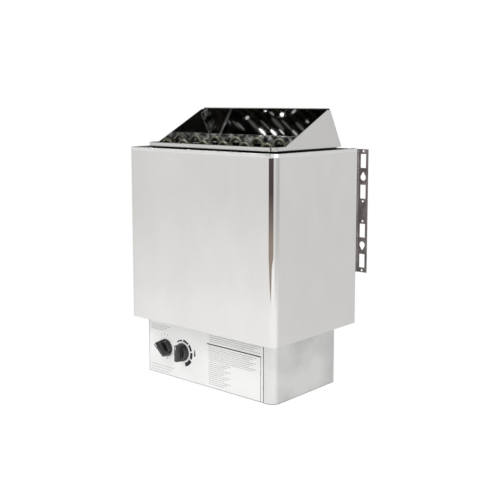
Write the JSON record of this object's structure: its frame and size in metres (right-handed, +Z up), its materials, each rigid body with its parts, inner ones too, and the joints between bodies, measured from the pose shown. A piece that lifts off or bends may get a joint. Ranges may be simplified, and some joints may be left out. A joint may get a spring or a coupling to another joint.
{
  "type": "sauna heater",
  "caption": "Wall-hung electric sauna heater: bright steel jacket, open sloping hood over bent heating elements, control box with turning knobs, punched wall brackets.",
  "frame": {"origin": "centre of the bounding box's bottom face, under the control box", "axes": "+Z up, the front with the knobs faces -Y, the wall brackets face +Y"},
  "size_m": [0.451, 0.28, 0.58],
  "materials": {
    "polished_steel": "bright rolled stainless sheet",
    "satin_steel": "satin stainless sheet",
    "bracket_steel": "dark dull steel strip",
    "element_sheath": "annealed green-grey sheath",
    "brass_fittings": "plain brass",
    "fascia_paint": "white printed face",
    "knob_black": "gloss black moulding",
    "dark_plastic": "matt dark moulding",
    "lead_insulation": "silicone insulation",
    "pale_plastic": "cream moulding",
    "copper_parts": "bare copper",
    "button_red": "red moulding"
  },
  "bodies": {
    "heater_body": {"bottom_cover": "satin_steel", "bracket_screw_left_lower": "satin_steel", "bracket_screw_left_upper": "satin_steel", "bracket_screw_right_lower": "satin_steel", "bracket_screw_right_upper": "satin_steel", "cable_gland": "dark_plastic", "chassis_plate": "satin_steel", "control_box_shell": "satin_steel", "cover_screw_1": "satin_steel", "cover_screw_2": "satin_steel", "element_ferrule_1_front": "brass_fittings", "element_ferrule_1_rear": "brass_fittings", "element_ferrule_2_front": "brass_fittings", "element_ferrule_2_rear": "brass_fittings", "element_ferrule_3_front": "brass_fittings", "element_ferrule_3_rear": "brass_fittings", "element_support": "satin_steel", "fascia_plate": "fascia_paint", "floor_grate": "satin_steel", "gland_nut": "dark_plastic", "heating_element_1": "element_sheath", "heating_element_2": "element_sheath", "heating_element_3": "element_sheath", "hood": "polished_steel", "inner_liner": "polished_steel", "jacket_stay_left": "satin_steel", "jacket_stay_right": "satin_steel", "limiter_unit": "dark_plastic", "lock_nut_1_front": "brass_fittings", "lock_nut_1_rear": "brass_fittings", "lock_nut_2_front": "brass_fittings", "lock_nut_2_rear": "brass_fittings", "lock_nut_3_front": "brass_fittings", "lock_nut_3_rear": "brass_fittings", "neutral_link": "copper_parts", "outer_jacket": "polished_steel", "phase_lead_1": "lead_insulation", "phase_lead_2": "lead_insulation", "phase_lead_3": "lead_insulation", "rear_panel": "satin_steel", "sensor_clip_1": "satin_steel", "sensor_clip_2": "satin_steel", "sensor_tube": "copper_parts", "terminal_block": "pale_plastic", "thermostat_unit": "dark_plastic", "timer_unit": "dark_plastic", "wall_bracket_left": "bracket_steel", "wall_bracket_right": "bracket_steel"},
    "timer_dial": {"timer_knob": "knob_black", "timer_shaft": "satin_steel"},
    "thermostat_dial": {"thermostat_knob": "knob_black", "thermostat_shaft": "satin_steel"},
    "reset_push": {"reset_button": "button_red"}
  },
  "joints": [
    {"name": "timer_turn", "type": "hinge", "parent": "heater_body", "child": "timer_dial", "pos_m": [-0.125, -0.11, 0.061], "axis": [0, 1, 0], "range_deg": [-310, 20]},
    {"name": "thermostat_turn", "type": "hinge", "parent": "heater_body", "child": "thermostat_dial", "pos_m": [-0.074, -0.11, 0.061], "axis": [0, 1, 0], "range_deg": [-55, 150]},
    {"name": "reset_press", "type": "slide", "parent": "heater_body", "child": "reset_push", "axis": [0, 0, 1], "range_m": [0, 0.0025], "stiffness_N_per_m": 400}
  ]
}
